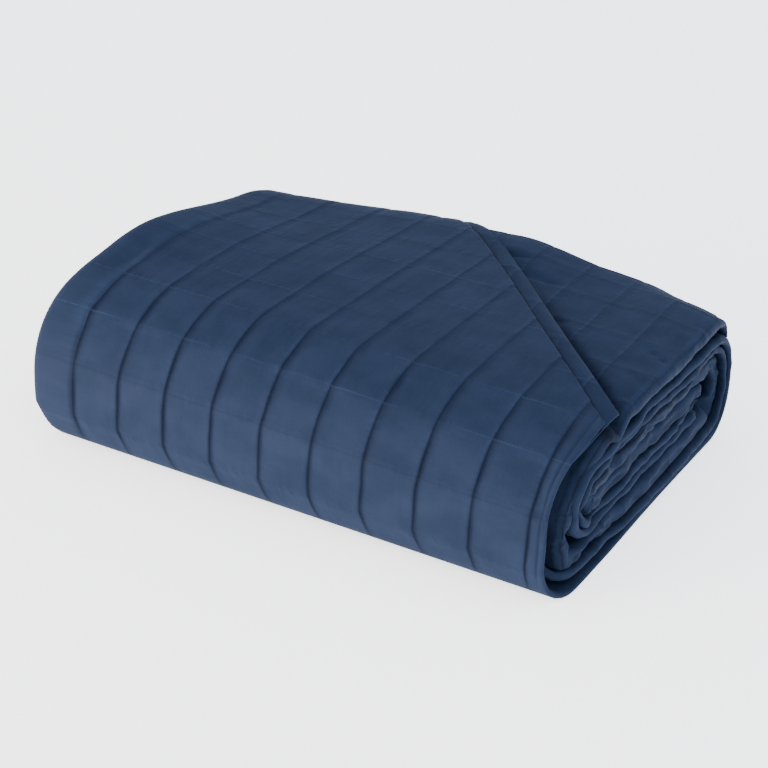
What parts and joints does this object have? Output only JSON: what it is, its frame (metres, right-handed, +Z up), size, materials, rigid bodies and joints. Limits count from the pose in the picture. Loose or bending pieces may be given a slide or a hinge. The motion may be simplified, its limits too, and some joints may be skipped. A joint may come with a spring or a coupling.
{
  "type": "folded quilt",
  "caption": "Square-stitched bed quilt, folded in plies and rolled flat into a bundle, one corner turned under, lying on its flat underside.",
  "frame": {"origin": "middle of the underside of the bundle's box, on the surface it lies on", "axes": "+X along the bundle towards the end with the open hems, +Y from the rounded front to the back, +Z up"},
  "size_m": [0.5394, 0.4052, 0.1538],
  "materials": {
    "navy_cotton": "smooth plain-woven cotton in navy blue, matt with a faint sheen, stitched in squares"
  },
  "bodies": {
    "root": {"quilt": "navy_cotton"}
  },
  "joints": []
}
